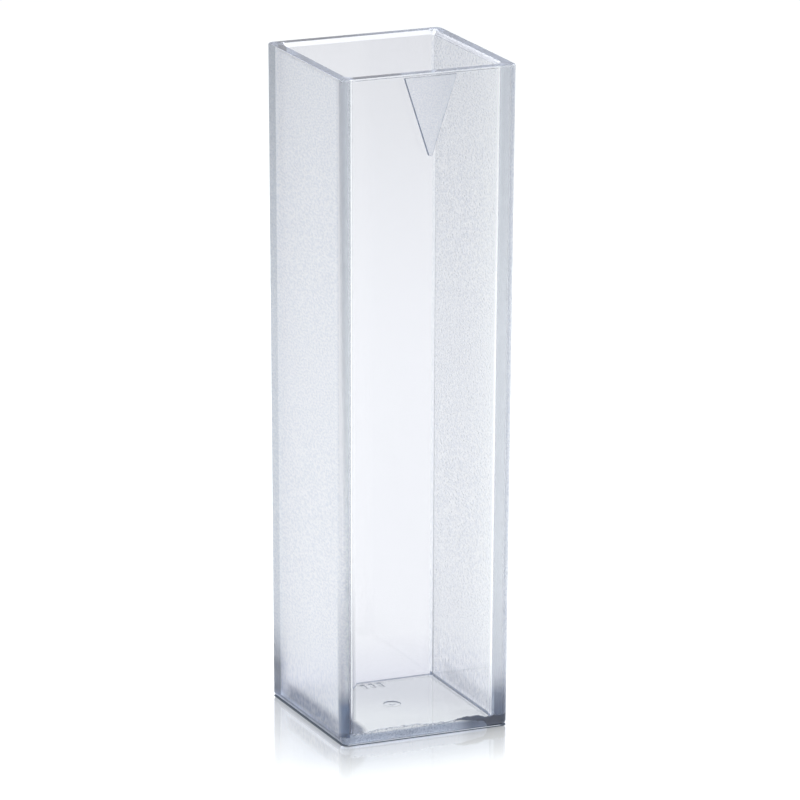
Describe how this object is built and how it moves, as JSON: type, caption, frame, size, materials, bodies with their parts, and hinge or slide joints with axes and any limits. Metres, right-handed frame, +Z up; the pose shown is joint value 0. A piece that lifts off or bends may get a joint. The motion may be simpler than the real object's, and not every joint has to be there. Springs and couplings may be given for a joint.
{
  "type": "disposable cuvette",
  "caption": "Tall square open-topped cell in clear plastic with two clear windows, two frosted sides and a raised pointer mark just below the rim.",
  "frame": {"origin": "centre of the underside, on the surface it stands on", "axes": "+Z up out of the open mouth, -Y out of the clear window that carries the raised mark, +X and -X out of the two frosted sides"},
  "size_m": [0.0126, 0.0127, 0.045],
  "materials": {
    "clear_polystyrene": "polished clear on the windows and inside, fine frosted texture on the two sides, the mark and the underside"
  },
  "bodies": {
    "root": {"cuvette": "clear_polystyrene"}
  },
  "joints": []
}
